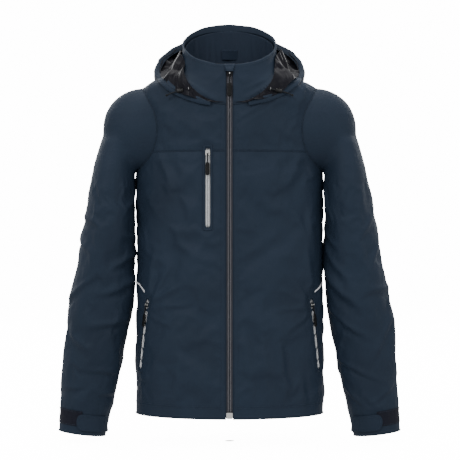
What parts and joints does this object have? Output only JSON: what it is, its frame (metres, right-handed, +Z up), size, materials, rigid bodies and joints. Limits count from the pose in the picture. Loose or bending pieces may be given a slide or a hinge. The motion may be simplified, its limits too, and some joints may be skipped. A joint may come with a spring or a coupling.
{
  "type": "foul weather jacket",
  "caption": "Hip-length hooded sailing jacket in plain navy shell cloth with a tall collar, full front zip, chest and hand pocket zips and adjustable cuffs.",
  "frame": {"origin": "centre of the neck at shoulder height, where the jacket hangs on its wearer or hanger", "axes": "+Z up from hem to collar, -Y out of the front zip, -X to the wearer's right arm"},
  "size_m": [0.7332, 0.2929, 0.8941],
  "materials": {
    "shell_cloth": "woven, slight sheen",
    "hood_lining_cloth": "shiny, wrinkled",
    "collar_lining_cloth": "soft, brushed",
    "lining_mesh": "matt mesh",
    "pocket_mesh": "matt mesh",
    "main_zip_tape": "woven tape",
    "light_zip_tape": "woven tape, light grey",
    "main_zip_coil": "satin",
    "light_zip_coil": "satin, light grey",
    "moulded_pull": "matt, moulded",
    "zip_metal": "bright",
    "reflective_trim": "retroreflective",
    "loop_patch": "napped loop",
    "elastic_cord": "braided",
    "lock_plastic": "satin",
    "eyelet_metal": "dark",
    "hanger_webbing": "woven webbing",
    "label_cloth": "woven, blank"
  },
  "bodies": {
    "torso": {"back_panel": "shell_cloth", "back_yoke": "shell_cloth", "body_lining": "lining_mesh", "chest_pocket_bag": "pocket_mesh", "chest_zip_coils": "light_zip_coil", "chest_zip_tapes": "light_zip_tape", "collar_lining": "collar_lining_cloth", "collar_outer": "shell_cloth", "hanger_loop": "hanger_webbing", "hem_facing": "shell_cloth", "hood_front_left": "shell_cloth", "hood_front_right": "shell_cloth", "left_corner_trim": "reflective_trim", "left_front": "shell_cloth", "left_front_yoke": "shell_cloth", "left_hood_cord": "elastic_cord", "left_hood_eyelet": "eyelet_metal", "left_pocket_bag": "pocket_mesh", "left_pocket_zip_coils": "light_zip_coil", "left_pocket_zip_tapes": "light_zip_tape", "main_coil_left": "main_zip_coil", "main_coil_right": "main_zip_coil", "main_tape_left": "main_zip_tape", "main_tape_right": "main_zip_tape", "right_corner_trim": "reflective_trim", "right_front": "shell_cloth", "right_front_yoke": "shell_cloth", "right_hood_cord": "elastic_cord", "right_hood_eyelet": "eyelet_metal", "right_pocket_bag": "pocket_mesh", "right_pocket_zip_coils": "light_zip_coil", "right_pocket_zip_tapes": "light_zip_tape", "size_label": "label_cloth", "storm_flap": "shell_cloth", "zip_bottom_box": "zip_metal", "zip_garage": "shell_cloth"},
    "right_sleeve": {"right_sleeve": "shell_cloth", "right_sleeve_lining": "lining_mesh", "right_cuff_patch": "loop_patch"},
    "left_sleeve": {"left_sleeve": "shell_cloth", "left_sleeve_lining": "lining_mesh", "left_cuff_patch": "loop_patch"},
    "right_cuff_tab": {"right_cuff_tab": "shell_cloth"},
    "left_cuff_tab": {"left_cuff_tab": "shell_cloth"},
    "hood": {"hood_shell": "shell_cloth", "hood_lining": "hood_lining_cloth"},
    "main_slider": {"main_slider": "zip_metal"},
    "main_pull": {"main_pull": "moulded_pull"},
    "chest_slider": {"chest_slider": "zip_metal"},
    "chest_pull": {"chest_pull": "moulded_pull"},
    "right_pocket_slider": {"right_pocket_slider": "zip_metal"},
    "right_pocket_pull": {"right_pocket_pull": "moulded_pull"},
    "left_pocket_slider": {"left_pocket_slider": "zip_metal"},
    "left_pocket_pull": {"left_pocket_pull": "moulded_pull"},
    "right_cord_lock": {"right_cord_lock": "lock_plastic"},
    "left_cord_lock": {"left_cord_lock": "lock_plastic"}
  },
  "joints": [
    {"name": "right_sleeve_raise", "type": "hinge", "parent": "torso", "child": "right_sleeve", "pos_m": [-0.184, 0, -0.078], "axis": [0, 1, 0], "range_deg": [0, 60]},
    {"name": "left_sleeve_raise", "type": "hinge", "parent": "torso", "child": "left_sleeve", "pos_m": [0.184, 0, -0.078], "axis": [0, -1, 0], "range_deg": [0, 60]},
    {"name": "right_cuff_tab_peel", "type": "hinge", "parent": "right_sleeve", "child": "right_cuff_tab", "pos_m": [-0.2605, -0.004, -0.703], "axis": [0, 0, 1], "range_deg": [0, 100]},
    {"name": "left_cuff_tab_peel", "type": "hinge", "parent": "left_sleeve", "child": "left_cuff_tab", "pos_m": [0.2605, -0.004, -0.703], "axis": [0, 0, -1], "range_deg": [0, 100]},
    {"name": "hood_lift", "type": "hinge", "parent": "torso", "child": "hood", "pos_m": [0, -0.06, 0.04], "axis": [1, 0, 0], "range_deg": [0, 75]},
    {"name": "main_zip_slide", "type": "slide", "parent": "torso", "child": "main_slider", "axis": [0, -0.0434, -0.9991], "range_m": [0, 0.68]},
    {"name": "main_pull_lift", "type": "hinge", "parent": "main_slider", "child": "main_pull", "pos_m": [0, -0.09726, 0.03321], "axis": [-1, 0, 0], "range_deg": [0, 95]},
    {"name": "chest_zip_slide", "type": "slide", "parent": "torso", "child": "chest_slider", "axis": [0, -0.0424, -0.9991], "range_m": [0, 0.14]},
    {"name": "chest_pull_lift", "type": "hinge", "parent": "chest_slider", "child": "chest_pull", "pos_m": [-0.04589, -0.10091, -0.13283], "axis": [-0.9916, 0.129, -0.0055], "range_deg": [0, 150]},
    {"name": "right_pocket_zip_slide", "type": "slide", "parent": "torso", "child": "right_pocket_slider", "axis": [-0.1122, 0.1237, -0.986], "range_m": [0, 0.12]},
    {"name": "right_pocket_pull_lift", "type": "hinge", "parent": "right_pocket_slider", "child": "right_pocket_pull", "pos_m": [-0.17753, -0.05612, -0.45182], "axis": [-0.5951, 0.7863, 0.1663], "range_deg": [0, 150]},
    {"name": "left_pocket_zip_slide", "type": "slide", "parent": "torso", "child": "left_pocket_slider", "axis": [0.1122, 0.1237, -0.986], "range_m": [0, 0.12]},
    {"name": "left_pocket_pull_lift", "type": "hinge", "parent": "left_pocket_slider", "child": "left_pocket_pull", "pos_m": [0.17753, -0.05612, -0.45182], "axis": [-0.5951, -0.7863, -0.1663], "range_deg": [0, 150]},
    {"name": "right_cord_lock_slide", "type": "slide", "parent": "torso", "child": "right_cord_lock", "axis": [-0.9452, 0.2587, -0.199], "range_m": [0, 0.016]},
    {"name": "left_cord_lock_slide", "type": "slide", "parent": "torso", "child": "left_cord_lock", "axis": [0.9452, 0.2587, -0.199], "range_m": [0, 0.016]}
  ]
}
